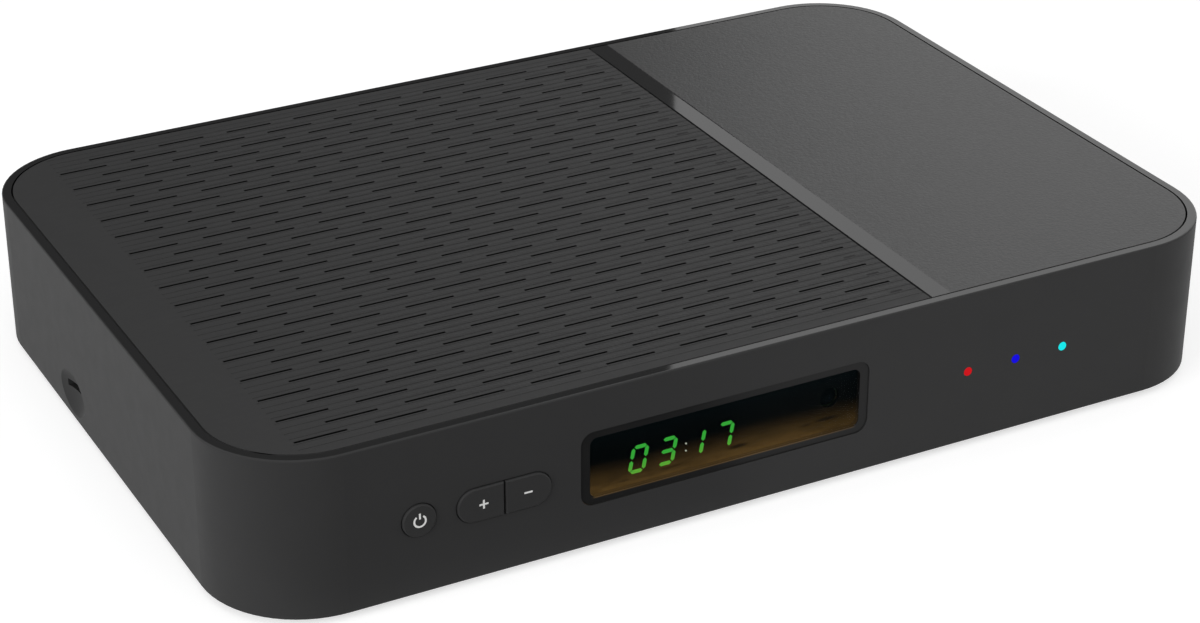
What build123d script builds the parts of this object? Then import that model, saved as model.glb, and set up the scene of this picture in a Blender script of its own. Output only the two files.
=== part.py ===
"""Satellite television receiver: a low desktop box with a slotted top cover.

Millimetres, +Z up, +X to the right and +Y to the back as seen from the front.
The origin lies on the surface that the feet stand on, under the middle of the
overall width and of the overall depth, which runs from the buttons' faces to
the ends of the aerial connectors.
"""

import math
import os

from build123d import *

# Housing
body_width = 260.0
body_depth = 175.0
body_height = 39.5
corner_radius = 24.5
wall = 2.3
floor_thick = 2.2
rim_edge = 0.5
bottom_edge = 0.3
ledge = 1.6
ledge_height = 1.5
fit_gap = 0.2
flush_gap = 0.05

# Top cover
cover_thick = 2.0
cover_gap = 0.45
skirt_thick = 1.2
skirt_depth = 3.0
strip_left = 42.7
strip_line = 0.6
strip_line_depth = 0.6
slot_length = 12.1
slot_width = 0.6
slot_step = 9.3
row_step = 5.05
slot_end_margin = 3.8
field_left_margin = 14.0
row_margin = 6.0
rib_step = row_step / 2
groove_width = 0.9
groove_depth = 0.05
stiffener_thick = 1.2
stiffener_depth = 3.0
stiffener_rows = 8

# Cover posts, and the screws that come up through the base into them
post_radius = 3.5
post_inset_x = 18.0
post_inset_y = 17.5
base_boss_radius = 5.0
base_boss_height = 8.0
base_screw_radius = 1.5
base_screw_reach = 12.0
base_head_radius = 2.9
base_head_height = 2.0
base_head_sink = 3.4

# Feet
foot_radius = 8.0
foot_drop = 2.0
foot_recess = 0.7
foot_edge = 0.8
foot_inset_x = 34.0
foot_inset_y = 26.0

# Base vents
vent_length = 26.0
vent_width = 2.4
vent_step = 6.0
vent_count = 12
vent_row_step = 40.0

# Display window
window_x = -12.2
window_width = 74.7
window_height = 18.7
window_radius = 3.2
bezel_side_band = 2.4
bezel_top_band = 1.85
bezel_sink = 0.3
bezel_flange = 2.0
bezel_flange_thick = 1.2
lens_radius = 1.8
lens_sink = 0.15
lens_lip = 1.1
lens_lip_thick = 0.6
lens_front_thick = 1.25
backing_gap = 0.35
backing_thick = 0.75

# Clock digits on the face of the backing, with a colon in their middle
clock_reading = "0317"
digit_height = 7.0
digit_width = 4.3
digit_pitch = 7.35
digit_slant = 10.0
digit_drop = 2.0
last_digit_shift = 0.35
segment_width = 0.85
segment_gap = 0.22
segment_thick = 0.2
colon_radius = 0.2
colon_spread = 1.85
colon_shift = 1.1
colon_drop = 0.3
module_margin = 3.0

# Front buttons
button_drop = 1.1
power_radius = 4.0
power_to_pill = 9.0
pill_width = 22.8
pill_height = 8.3
pill_to_window = 7.4
split_gap = 0.4
button_gap = 0.15
button_proud = 0.6
button_edge = 0.3
hole_edge = 0.1
collar = 1.0
collar_thick = 1.0
stem_radius = 2.0
button_travel = 0.4
touch_gap = 0.05

# Switches behind the buttons
switch_side = 6.0
switch_body = 3.5
plunger_radius = 1.7
plunger_out = 1.5
plunger_in = 1.3
bore_spare = 0.4
running_gap = 0.08

# Indicator light pipes
pipe_radius = 1.1
pipe_shoulder = 0.8
pipe_shoulder_thick = 1.0
first_pipe_to_window = 27.6
pipe_pitch = 13.5
pipe_drop = 0.9
led_side = 2.0
led_height = 0.8
led_gap = 0.3

# Infrared receiver
receiver_to_edge = 6.75
receiver_rise = 0.5
receiver_width = 6.0
receiver_height = 7.0
receiver_body = 4.4
receiver_dome = 2.3

# Front circuit board
front_board_space = 7.7
board_thick = 1.6
front_board_margin = 10.0
front_board_clear = 1.5
board_corner = 5.0
wall_boss_radius = 3.0
board_screw_radius = 1.25
board_screw_reach = 5.0
board_head_radius = 2.4
board_head_height = 1.4
pilot_spare = 1.0

# Main circuit board
standoff_height = 2.4
standoff_radius = 3.0
board_edge_gap = 5.7
board_front_gap = 40.0
rear_board_gap = 0.5
standoff_inset = 6.0
post_clearance = 2.0

# Rear panel, a flat plate behind an opening of the rear wall
rear_opening_inset = 30.0
rear_opening_low = 5.0
rear_opening_high = 29.0
rear_opening_radius = 2.0
panel_thick = 1.0
panel_lap = 1.2

# Sockets in the rear panel
socket_gap = 0.3
tuner_to_edge = 50.0
tuner_width = 48.0
tuner_depth = 32.0
tuner_height = 14.0
can_thick = 0.5
aerial_pitch = 24.0
aerial_rise = 7.0
aerial_radius = 4.75
aerial_neck_radius = 5.0
aerial_reach = 9.5
aerial_edge = 0.4
aerial_pin_hole = 0.7
aerial_pin_depth = 6.0
washer_radius = 6.5
washer_thick = 0.8
nut_across_flats = 11.0
nut_thick = 2.2
hdmi_to_middle = 9.0
hdmi_width = 15.0
hdmi_height = 5.6
hdmi_length = 11.5
hdmi_corner = 1.6
hdmi_tongue_width = 11.0
hdmi_tongue_thick = 1.2
network_x = 8.0
network_width = 16.0
network_height = 13.4
network_length = 18.0
network_port_width = 11.8
network_port_height = 7.0
network_port_depth = 13.0
network_latch_width = 6.0
network_latch_height = 2.6
network_sill = 2.0
usb_x = -15.0
usb_width = 13.4
usb_height = 6.0
usb_length = 14.0
usb_tongue_width = 11.0
usb_tongue_thick = 1.8
shell_thick = 0.4
tongue_recess = 2.5
insulator_block = 3.0
optical_x = -33.0
optical_width = 9.8
optical_height = 10.0
optical_length = 13.5
optical_port = 7.6
optical_port_depth = 8.0
optical_lens_radius = 1.3
optical_lens_length = 1.0
av_x = -51.0
av_width = 7.6
av_height = 7.6
av_length = 13.0
av_bore_radius = 1.8
av_bore_depth = 11.0
av_snout_radius = 3.3
power_inlet_to_edge = 38.0
power_inlet_width = 9.4
power_inlet_height = 11.0
power_inlet_length = 14.0
power_bore_radius = 3.2
power_bore_depth = 9.5
power_pin_radius = 1.0
power_pin_length = 8.0

# Memory card slot in the left wall
card_y = 21.2
card_slot_width = 12.6
card_slot_height = 1.7
dish_width = 17.0
dish_height = 11.0
dish_depth = 2.1
card_pad_thick = 3.0
card_pad_width = 16.0
card_pad_height = 11.5
card_lift = 0.75
card_socket_width = 14.6
card_socket_length = 15.0
card_socket_height = 2.2
card_mouth_gap = 0.4
card_mouth_width = 11.6
card_mouth_height = 1.1
card_mouth_depth = 12.0

# Smart card slot in the right wall
smart_y = -1.5
smart_slot_width = 56.0
smart_slot_height = 2.0
reader_width = 59.0
reader_length = 50.0
reader_height = 6.0
reader_gap = 0.6
reader_mouth_height = 1.4
reader_mouth_width = 54.6
reader_mouth_depth = 40.0

# Parts on the main board
processor_side = 23.0
processor_height = 1.6
processor_x = -6.0
processor_y = -4.0
sink_side = 38.0
sink_base = 2.5
sink_height = 12.0
fin_thick = 1.2
fin_count = 8
memory_width = 9.0
memory_depth = 13.0
memory_height = 1.2
memory_to_processor = 29.0
memory_pitch = 16.0
memory_count = 3
power_chip_side = 5.0
power_chip_height = 1.5
power_chip_pitch = 14.0
power_chip_count = 3
coil_side = 8.0
coil_height = 4.5
supply_to_edge = 50.0
supply_y = 28.0
capacitor_radius = 4.0
capacitor_height = 12.0
capacitor_pitch = 12.0
capacitor_count = 4
supply_row_step = 14.0

# Ribbon cable between the boards
ribbon_x = 24.0
ribbon_width = 14.0
ribbon_thick = 0.8
header_wall = 1.5
header_height = 6.0
header_length = 8.0
ribbon_insert = 3.5
ribbon_run = 8.0
ribbon_rise = 9.0
ribbon_bend = 4.0
header_inset = 2.0

# Places that follow from the sizes above. Heights are above the body's underside, and depths are
# behind its front face.
overall_depth = button_proud + body_depth + aerial_reach
front_y = button_proud - overall_depth / 2
rear_y = front_y + body_depth
mid_y = (front_y + rear_y) / 2
inner_width = body_width - 2 * wall
inner_depth = body_depth - 2 * wall
inner_radius = corner_radius - wall
cover_width = inner_width - 2 * cover_gap
cover_depth = inner_depth - 2 * cover_gap
cover_radius = inner_radius - cover_gap
cover_seat = body_height - cover_thick
window_z = body_height / 2
button_z = window_z - button_drop
pipe_z = window_z - pipe_drop
window_left = window_x - window_width / 2
window_right = window_x + window_width / 2
pill_x = window_left - pill_to_window - pill_width / 2
power_x = pill_x - pill_width / 2 - power_to_pill
half_pill = (pill_width - split_gap) / 2
up_x = pill_x - (split_gap + half_pill) / 2
down_x = pill_x + (split_gap + half_pill) / 2
pipe_xs = [window_right + first_pipe_to_window + place * pipe_pitch for place in (0, 1, 2)]
switch_points = [(x, button_z) for x in (power_x, up_x, down_x)]
front_board_depth = wall + front_board_space
plunger_tip = front_board_depth - switch_body - plunger_out
collar_depth = wall + touch_gap + collar_thick
lens_width = window_width - 2 * bezel_side_band
lens_height = window_height - 2 * bezel_top_band
lens_step = lens_sink + lens_front_thick
backing_depth = lens_step + lens_lip_thick + backing_gap
bezel_back = wall + bezel_flange_thick
digit_z = window_z - digit_drop
receiver_x = window_right - bezel_side_band - receiver_to_edge
receiver_z = window_z + receiver_rise
front_board_left = power_x - front_board_margin
front_board_right = pipe_xs[-1] + front_board_margin
front_board_low = floor_thick + ledge_height + front_board_clear
front_board_high = cover_seat - skirt_depth - front_board_clear
front_board_x = (front_board_left + front_board_right) / 2
front_board_z = (front_board_low + front_board_high) / 2
front_board_width = front_board_right - front_board_left
front_board_height = front_board_high - front_board_low
wall_boss_points = [
    (x, z)
    for x in (front_board_left + board_corner, front_board_right - board_corner)
    for z in (front_board_low + board_corner, front_board_high - board_corner)
]
post_x = body_width / 2 - post_inset_x
post_y = body_depth / 2 - post_inset_y
post_points = [(sx * post_x, sy * post_y) for sx in (-1, 1) for sy in (-1, 1)]
foot_points = [
    (sx * (body_width / 2 - foot_inset_x), sy * (body_depth / 2 - foot_inset_y))
    for sx in (-1, 1)
    for sy in (-1, 1)
]
board_low = floor_thick + standoff_height
board_top = board_low + board_thick
board_width = inner_width - 2 * board_edge_gap
board_rear = inner_depth / 2 - panel_thick - rear_board_gap
board_front = front_board_depth + board_thick + board_front_gap - body_depth / 2
board_y = (board_front + board_rear) / 2
notch_x = board_width / 2 - (post_x - base_boss_radius - post_clearance)
notch_y = board_rear - (post_y - base_boss_radius - post_clearance)
front_standoff_x = board_width / 2 - reader_length - standoff_inset
rear_standoff_x = board_width / 2 - notch_x - standoff_inset
rear_standoff_y = board_rear - tuner_depth - standoff_inset
standoff_points = [
    (sx * x, y)
    for sx in (-1, 1)
    for x, y in ((front_standoff_x, board_front + standoff_inset), (rear_standoff_x, rear_standoff_y))
]
card_z = board_top + card_lift
reader_z = board_top + reader_height / 2
supply_x = supply_to_edge - board_width / 2
power_inlet_x = power_inlet_to_edge - board_width / 2
tuner_x = board_width / 2 - tuner_to_edge
hdmi_x = (network_x + tuner_x) / 2 - hdmi_to_middle
rear_opening_width = body_width - 2 * rear_opening_inset
rear_opening_z = (rear_opening_low + rear_opening_high) / 2
rear_opening_height = rear_opening_high - rear_opening_low
aerial_length = wall + aerial_reach
aerial_z = board_top + aerial_rise
aerial_xs = (tuner_x - aerial_pitch / 2, tuner_x + aerial_pitch / 2)
aerial_points = [(x, aerial_z) for x in aerial_xs]


def level(height):
    """Level plane at a height above the body's underside, centred on the body."""
    return Plane(origin=(0, mid_y, foot_drop + height))


def upright(depth):
    """Plane at a depth behind the front face: x to the right, y up, normal to the front."""
    return Plane(origin=(0, front_y + depth, foot_drop), x_dir=(1, 0, 0), z_dir=(0, -1, 0))


def behind(reach):
    """Plane at a reach behind the rear panel: x to the right, y up, normal to the front."""
    return upright(body_depth - wall + reach)


def left_side(depth):
    """Plane at a depth inside the left face: x to the front, y up, normal to the left."""
    return Plane(origin=(depth - body_width / 2, mid_y, foot_drop), x_dir=(0, -1, 0), z_dir=(-1, 0, 0))


def right_side(depth):
    """Plane at a depth inside the right face: x to the back, y up, normal to the right."""
    return Plane(origin=(body_width / 2 - depth, mid_y, foot_drop), x_dir=(0, 1, 0), z_dir=(1, 0, 0))


def ring(width, depth, radius, band):
    """Rounded rectangular band in the current sketch, measured over its outside."""
    RectangleRounded(width, depth, radius)
    RectangleRounded(width - 2 * band, depth - 2 * band, radius - band, mode=Mode.SUBTRACT)


# Housing: four walls with a level rim, an upper ledge for the cover and a lower one for the base

with BuildPart() as housing_shell:
    with BuildSketch(level(0)):
        ring(body_width, body_depth, corner_radius, wall)
    extrude(amount=body_height)
    fillet(housing_shell.faces().sort_by(Axis.Z)[-1].outer_wire().edges(), rim_edge)
    chamfer(housing_shell.faces().sort_by(Axis.Z)[0].outer_wire().edges(), bottom_edge)
    with BuildSketch(level(floor_thick), level(cover_seat - ledge_height)):
        ring(inner_width, inner_depth, inner_radius, ledge)
    extrude(amount=ledge_height)

    # Bosses for the front board
    with BuildSketch(upright(front_board_depth)):
        with Locations(*wall_boss_points):
            Circle(wall_boss_radius)
    extrude(amount=front_board_space)
    with BuildSketch(upright(front_board_depth)):
        with Locations(*wall_boss_points):
            Circle(board_screw_radius + flush_gap)
    extrude(amount=board_screw_reach + pilot_spare, mode=Mode.SUBTRACT)

    # Button holes, with softened edges
    with BuildSketch(upright(wall)):
        with Locations((power_x, button_z)):
            Circle(power_radius + button_gap)
        with Locations((pill_x, button_z)):
            SlotOverall(pill_width + 2 * button_gap, pill_height + 2 * button_gap)
    extrude(amount=wall, mode=Mode.SUBTRACT)
    hole_rims = housing_shell.edges(Select.LAST).group_by(Axis.Y)[0]
    chamfer(hole_rims, hole_edge)

    # Window and light pipe holes
    with BuildSketch(upright(wall)):
        with Locations((window_x, window_z)):
            RectangleRounded(window_width, window_height, window_radius)
        with Locations(*[(x, pipe_z) for x in pipe_xs]):
            Circle(pipe_radius + flush_gap)
    extrude(amount=wall, mode=Mode.SUBTRACT)

    # Memory card slot, in a finger dish with a pad behind it
    with BuildSketch(left_side(wall + card_pad_thick)):
        with Locations((-card_y, floor_thick + card_pad_height / 2)):
            Rectangle(card_pad_width, card_pad_height)
    extrude(amount=card_pad_thick)
    dish_turn = ((dish_height / 2) ** 2 + dish_depth**2) / (2 * dish_depth)
    dish_sweep = ((dish_width / 2) ** 2 + dish_depth**2) / (2 * dish_depth)
    dish_end = math.sqrt(dish_sweep**2 - (dish_sweep - dish_turn) ** 2)
    dish_axis = dish_depth - dish_turn - body_width / 2
    with BuildSketch(level(card_z)):
        with BuildLine():
            scoop = ThreePointArc(
                (dish_axis, card_y - dish_end),
                (dish_axis - dish_turn, card_y),
                (dish_axis, card_y + dish_end),
            )
            Line(scoop @ 1, scoop @ 0)
        make_face()
    revolve(axis=Axis((dish_axis, mid_y, foot_drop + card_z), (0, 1, 0)), mode=Mode.SUBTRACT)
    with BuildSketch(left_side(wall + card_pad_thick)):
        with Locations((-card_y, card_z)):
            Rectangle(card_slot_width, card_slot_height)
    extrude(amount=wall + card_pad_thick, mode=Mode.SUBTRACT)

    # Smart card slot
    with BuildSketch(right_side(wall)):
        with Locations((smart_y, reader_z)):
            Rectangle(smart_slot_width, smart_slot_height)
    extrude(amount=wall, mode=Mode.SUBTRACT)

    # Opening for the rear panel
    with BuildSketch(upright(body_depth)):
        with Locations((0, rear_opening_z)):
            RectangleRounded(rear_opening_width, rear_opening_height, rear_opening_radius)
    extrude(amount=wall, mode=Mode.SUBTRACT)


# Base: a vented plate inside the walls, with screw bosses, board standoffs and foot recesses

with BuildPart() as base_plate:
    with BuildSketch(level(0)):
        RectangleRounded(inner_width - 2 * fit_gap, inner_depth - 2 * fit_gap, inner_radius - fit_gap)
        with GridLocations(vent_step, vent_row_step, vent_count, 2):
            Rectangle(vent_width, vent_length, mode=Mode.SUBTRACT)
    extrude(amount=floor_thick)
    with BuildSketch(level(0)):
        with Locations(*post_points):
            Circle(base_boss_radius)
    extrude(amount=base_boss_height)
    with BuildSketch(level(floor_thick)):
        with Locations(*standoff_points):
            Circle(standoff_radius)
    extrude(amount=standoff_height)
    with BuildSketch(level(0)):
        with Locations(*post_points):
            Circle(base_screw_radius + fit_gap)
    extrude(amount=base_boss_height, mode=Mode.SUBTRACT)
    with BuildSketch(level(0)):
        with Locations(*post_points):
            Circle(base_head_radius + fit_gap)
    extrude(amount=base_head_sink, mode=Mode.SUBTRACT)
    with BuildSketch(level(board_low)):
        with Locations(*standoff_points):
            Circle(board_screw_radius + flush_gap)
    extrude(amount=-(standoff_height + floor_thick / 2), mode=Mode.SUBTRACT)
    with BuildSketch(level(0)):
        with Locations(*foot_points):
            Circle(foot_radius + flush_gap)
    extrude(amount=foot_recess, mode=Mode.SUBTRACT)

with BuildPart() as rubber_feet:
    with BuildSketch(level(foot_recess)):
        with Locations(*foot_points):
            Circle(foot_radius)
    extrude(amount=-(foot_recess + foot_drop))
    chamfer(rubber_feet.edges().group_by(Axis.Z)[0], foot_edge)

with BuildPart() as base_screws:
    with BuildSketch(level(base_head_sink)):
        with Locations(*post_points):
            Circle(base_head_radius)
    extrude(amount=-base_head_height)
    with BuildSketch(level(base_head_sink)):
        with Locations(*post_points):
            Circle(base_screw_radius)
    extrude(amount=base_boss_height - base_head_sink + base_screw_reach)


# Top cover: a plate let into the rim, with a ribbed and slotted field, a dividing line and posts

field_right = strip_left - slot_end_margin
field_left = field_left_margin - cover_width / 2
slot_columns = int((field_right - field_left - slot_length) // slot_step) + 1
slot_rows = int((cover_depth - 2 * row_margin) // row_step) + 1
first_row_y = -(slot_rows - 1) * row_step / 2
slot_points = [
    (field_right - slot_length / 2 - column * slot_step, first_row_y + row * row_step)
    for column in range(slot_columns)
    for row in range(slot_rows)
    if (column + row) % 2 == 1
]
groove_left = field_right - slot_length - (slot_columns - 1) * slot_step - slot_width
groove_count = 2 * slot_rows + 2
stiffener_ys = [
    first_row_y + (row + 0.5) * row_step for row in range(stiffener_rows // 2, slot_rows, stiffener_rows)
]

with BuildPart() as top_cover:
    with BuildSketch(level(cover_seat)):
        RectangleRounded(cover_width, cover_depth, cover_radius)
    extrude(amount=cover_thick)
    with BuildSketch(level(cover_seat)):
        skirt_inset = ledge + fit_gap
        ring(
            inner_width - 2 * skirt_inset,
            inner_depth - 2 * skirt_inset,
            inner_radius - skirt_inset,
            skirt_thick,
        )
    extrude(amount=-skirt_depth)
    with BuildSketch(level(cover_seat)):
        with Locations(*[(0, y) for y in stiffener_ys]):
            Rectangle(inner_width - 2 * (ledge + fit_gap + skirt_thick / 2), stiffener_thick)
    extrude(amount=-stiffener_depth)
    with BuildSketch(level(base_boss_height)):
        with Locations(*post_points):
            Circle(post_radius)
            Circle(base_screw_radius + flush_gap, mode=Mode.SUBTRACT)
    extrude(amount=base_screw_reach + pilot_spare)
    with BuildSketch(level(base_boss_height + base_screw_reach + pilot_spare)):
        with Locations(*post_points):
            Circle(post_radius)
    extrude(amount=cover_seat - base_boss_height - base_screw_reach - pilot_spare)
    with BuildSketch(level(cover_seat)):
        with Locations(*slot_points):
            Rectangle(slot_length, slot_width)
    extrude(amount=cover_thick, mode=Mode.SUBTRACT)
    with BuildSketch(level(body_height)):
        with Locations(((groove_left + strip_left) / 2, 0)):
            with GridLocations(0, rib_step, 1, groove_count):
                Rectangle(strip_left - groove_left, groove_width)
    extrude(amount=-groove_depth, mode=Mode.SUBTRACT)
    with BuildSketch(level(body_height)):
        with Locations((strip_left + strip_line / 2, 0)):
            Rectangle(strip_line, cover_depth)
    extrude(amount=-strip_line_depth, mode=Mode.SUBTRACT)


# Display window: a dark bezel, the lens behind it, and a backing that carries the lit segments

with BuildPart() as display_bezel:
    with BuildSketch(upright(bezel_back)):
        with Locations((window_x, window_z)):
            RectangleRounded(
                window_width - 2 * flush_gap, window_height - 2 * flush_gap, window_radius - flush_gap
            )
    extrude(amount=bezel_back - bezel_sink)
    with BuildSketch(upright(bezel_back)):
        with Locations((window_x, window_z)):
            RectangleRounded(
                window_width + 2 * bezel_flange, window_height + 2 * bezel_flange, window_radius
            )
    extrude(amount=bezel_flange_thick)
    with BuildSketch(upright(bezel_back)):
        with Locations((window_x, window_z)):
            RectangleRounded(lens_width, lens_height, lens_radius)
    extrude(amount=bezel_back, mode=Mode.SUBTRACT)
    with BuildSketch(upright(bezel_back)):
        with Locations((window_x, window_z)):
            RectangleRounded(lens_width + 2 * lens_lip, lens_height + 2 * lens_lip, lens_radius)
    extrude(amount=bezel_back - lens_step, mode=Mode.SUBTRACT)

with BuildPart() as display_lens:
    with BuildSketch(upright(lens_step)):
        with Locations((window_x, window_z)):
            RectangleRounded(lens_width - 2 * flush_gap, lens_height - 2 * flush_gap, lens_radius)
    extrude(amount=lens_front_thick)
    with BuildSketch(upright(lens_step + lens_lip_thick)):
        with Locations((window_x, window_z)):
            RectangleRounded(
                lens_width + 2 * lens_lip - 2 * flush_gap,
                lens_height + 2 * lens_lip - 2 * flush_gap,
                lens_radius,
            )
    extrude(amount=lens_lip_thick)

with BuildPart() as display_backing:
    with BuildSketch(upright(backing_depth + backing_thick)):
        with Locations((window_x, window_z)):
            RectangleRounded(
                lens_width + 2 * lens_lip - 2 * flush_gap,
                lens_height + 2 * lens_lip - 2 * flush_gap,
                lens_radius,
            )
        with Locations((receiver_x, receiver_z)):
            Circle(receiver_dome + fit_gap, mode=Mode.SUBTRACT)
    extrude(amount=backing_thick)


# Clock digits: slanted seven-segment figures, each segment a separate lit bar, with a colon

figures = {"0": "abcdef", "3": "abcdg", "1": "bc", "7": "abc"}
half_wide = (digit_width - segment_width) / 2
half_high = (digit_height - segment_width) / 2
segment_places = {
    "a": (0, half_high, False),
    "b": (half_wide, half_high / 2, True),
    "c": (half_wide, -half_high / 2, True),
    "d": (0, -half_high, False),
    "e": (-half_wide, -half_high / 2, True),
    "f": (-half_wide, half_high / 2, True),
    "g": (0, 0, False),
}
slant = math.tan(math.radians(digit_slant))
last_digit_x = window_x + last_digit_shift
clock_span = (len(clock_reading) - 1) * digit_pitch
clock_x = last_digit_x - clock_span / 2


def segment_outline(name):
    """Corners of one pointed bar, about its digit's centre, leaning with the slant."""
    x, y, is_upright = segment_places[name]
    reach = (half_high / 2 if is_upright else half_wide) - segment_gap
    side = segment_width / 2
    along = [-reach, side - reach, reach - side, reach, reach - side, side - reach]
    across = [0, side, side, 0, -side, -side]
    if is_upright:
        along, across = across, along
    return [(x + a + (y + b) * slant, y + b) for a, b in zip(along, across)]


with BuildPart() as display_segments:
    with BuildSketch(upright(backing_depth)):
        for place, figure in enumerate(reversed(clock_reading)):
            with Locations((last_digit_x - place * digit_pitch, digit_z)):
                for name in figures[figure]:
                    Polygon(*segment_outline(name), align=None)
    extrude(amount=segment_thick)

with BuildPart() as display_colon:
    with BuildSketch(upright(backing_depth)):
        with Locations((clock_x + colon_shift, digit_z - colon_drop)):
            with GridLocations(0, colon_spread, 1, 2):
                Circle(colon_radius)
    extrude(amount=segment_thick)

with BuildPart() as display_module:
    with BuildSketch(upright(front_board_depth)):
        with Locations((clock_x, digit_z)):
            Rectangle(clock_span + digit_width + 2 * module_margin, digit_height + 2 * module_margin)
    extrude(amount=front_board_depth - backing_depth - backing_thick)

with BuildPart() as infrared_receiver:
    with BuildSketch(upright(front_board_depth)):
        with Locations((receiver_x, receiver_z)):
            Rectangle(receiver_width, receiver_height)
    extrude(amount=receiver_body)
    with BuildSketch(upright(front_board_depth - receiver_body)):
        with Locations((receiver_x, receiver_z)):
            Circle(receiver_dome)
    extrude(amount=front_board_depth - receiver_body - backing_depth)
    chamfer(infrared_receiver.edges().group_by(Axis.Y)[0], receiver_dome / 2)


# Front buttons, each held behind the wall by a collar, and the switches that they press

with BuildPart() as power_button:
    with BuildSketch(upright(collar_depth)):
        with Locations((power_x, button_z)):
            Circle(power_radius)
    extrude(amount=collar_depth + button_proud)
    chamfer(power_button.edges().group_by(Axis.Y)[0], button_edge)
    with BuildSketch(upright(collar_depth)):
        with Locations((power_x, button_z)):
            Circle(power_radius + collar)
    extrude(amount=collar_thick)
    with BuildSketch(upright(collar_depth)):
        with Locations((power_x, button_z)):
            Circle(stem_radius)
    extrude(amount=-(plunger_tip - touch_gap - collar_depth))


def programme_button(centre_x):
    """One half of the programme pill, about its own centre, with its collar and stem."""
    with BuildPart() as button:
        with BuildSketch(upright(collar_depth)):
            with Locations((pill_x, button_z)):
                SlotOverall(pill_width, pill_height)
            with Locations((centre_x, button_z)):
                Rectangle(half_pill, pill_height, mode=Mode.INTERSECT)
        extrude(amount=collar_depth + button_proud)
        chamfer(button.edges().group_by(Axis.Y)[0], button_edge)
        with BuildSketch(upright(collar_depth)):
            with Locations((pill_x, button_z)):
                SlotOverall(pill_width + 2 * collar, pill_height + 2 * collar)
            with Locations((centre_x + (collar if centre_x > pill_x else -collar) / 2, button_z)):
                Rectangle(half_pill + collar, pill_height + 2 * collar, mode=Mode.INTERSECT)
        extrude(amount=collar_thick)
        with BuildSketch(upright(collar_depth)):
            with Locations((centre_x, button_z)):
                Circle(stem_radius)
        extrude(amount=-(plunger_tip - touch_gap - collar_depth))
    return button


programme_up_button = programme_button(up_x)
programme_down_button = programme_button(down_x)

with BuildPart() as switch_bodies:
    with BuildSketch(upright(front_board_depth)):
        with Locations(*switch_points):
            Rectangle(switch_side, switch_side)
    extrude(amount=switch_body)
    with BuildSketch(upright(front_board_depth - switch_body)):
        with Locations(*switch_points):
            Circle(plunger_radius + running_gap)
    extrude(amount=-(plunger_in + button_travel + bore_spare), mode=Mode.SUBTRACT)


def plunger(x):
    """Round plunger of the switch behind the button at x."""
    with BuildPart() as piece:
        with BuildSketch(upright(plunger_tip + plunger_out + plunger_in)):
            with Locations((x, button_z)):
                Circle(plunger_radius)
        extrude(amount=plunger_out + plunger_in)
    return piece


power_plunger = plunger(power_x)
programme_up_plunger = plunger(up_x)
programme_down_plunger = plunger(down_x)


# Indicators: three light pipes through the front wall, and the lamps behind them


def light_pipe(x):
    """Clear pipe flush with the front face, with a shoulder behind the wall."""
    pipe_end = front_board_depth - led_height - led_gap
    with BuildPart() as piece:
        with BuildSketch(upright(pipe_end)):
            with Locations((x, pipe_z)):
                Circle(pipe_radius)
        extrude(amount=pipe_end)
        with BuildSketch(upright(wall + pipe_shoulder_thick)):
            with Locations((x, pipe_z)):
                Circle(pipe_radius + pipe_shoulder)
        extrude(amount=pipe_shoulder_thick)
    return piece


red_light_pipe, blue_light_pipe, cyan_light_pipe = [light_pipe(x) for x in pipe_xs]

with BuildPart() as indicator_leds:
    with BuildSketch(upright(front_board_depth)):
        with Locations(*[(x, pipe_z) for x in pipe_xs]):
            Rectangle(led_side, led_side)
    extrude(amount=led_height)


# Front board, upright on four bosses of the front wall

with BuildPart() as front_board:
    with BuildSketch(upright(front_board_depth + board_thick)):
        with Locations((front_board_x, front_board_z)):
            Rectangle(front_board_width, front_board_height)
        with Locations(*wall_boss_points):
            Circle(board_screw_radius + fit_gap, mode=Mode.SUBTRACT)
    extrude(amount=board_thick)

with BuildPart() as front_board_screws:
    with BuildSketch(upright(front_board_depth + board_thick)):
        with Locations(*wall_boss_points):
            Circle(board_head_radius)
    extrude(amount=-board_head_height)
    with BuildSketch(upright(front_board_depth + board_thick)):
        with Locations(*wall_boss_points):
            Circle(board_screw_radius)
    extrude(amount=board_thick + board_screw_reach)


# Main board, on four standoffs of the base, notched round the rear cover posts

with BuildPart() as main_board:
    with BuildSketch(level(board_low)):
        with Locations((0, board_y)):
            Rectangle(board_width, board_rear - board_front)
        for side in (-1, 1):
            with Locations((side * (board_width - notch_x) / 2, board_rear - notch_y / 2)):
                Rectangle(notch_x, notch_y, mode=Mode.SUBTRACT)
        with Locations(*standoff_points):
            Circle(board_screw_radius + fit_gap, mode=Mode.SUBTRACT)
    extrude(amount=board_thick)

with BuildPart() as main_board_screws:
    with BuildSketch(level(board_top)):
        with Locations(*standoff_points):
            Circle(board_head_radius)
    extrude(amount=board_head_height)
    with BuildSketch(level(board_top)):
        with Locations(*standoff_points):
            Circle(board_screw_radius)
    extrude(amount=-(board_thick + standoff_height))

with BuildPart() as processor:
    with BuildSketch(level(board_top)):
        with Locations((processor_x, processor_y)):
            Rectangle(processor_side, processor_side)
    extrude(amount=processor_height)

with BuildPart() as heat_sink:
    with BuildSketch(level(board_top + processor_height)):
        with Locations((processor_x, processor_y)):
            Rectangle(sink_side, sink_side)
    extrude(amount=sink_base)
    with BuildSketch(level(board_top + processor_height + sink_base)):
        with Locations((processor_x, processor_y)):
            with GridLocations((sink_side - fin_thick) / (fin_count - 1), 0, fin_count, 1):
                Rectangle(fin_thick, sink_side)
    extrude(amount=sink_height - sink_base)

with BuildPart() as memory_chips:
    with BuildSketch(level(board_top)):
        with Locations((processor_x - memory_to_processor, processor_y)):
            with GridLocations(0, memory_pitch, 1, memory_count):
                Rectangle(memory_width, memory_depth)
    extrude(amount=memory_height)

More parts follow.
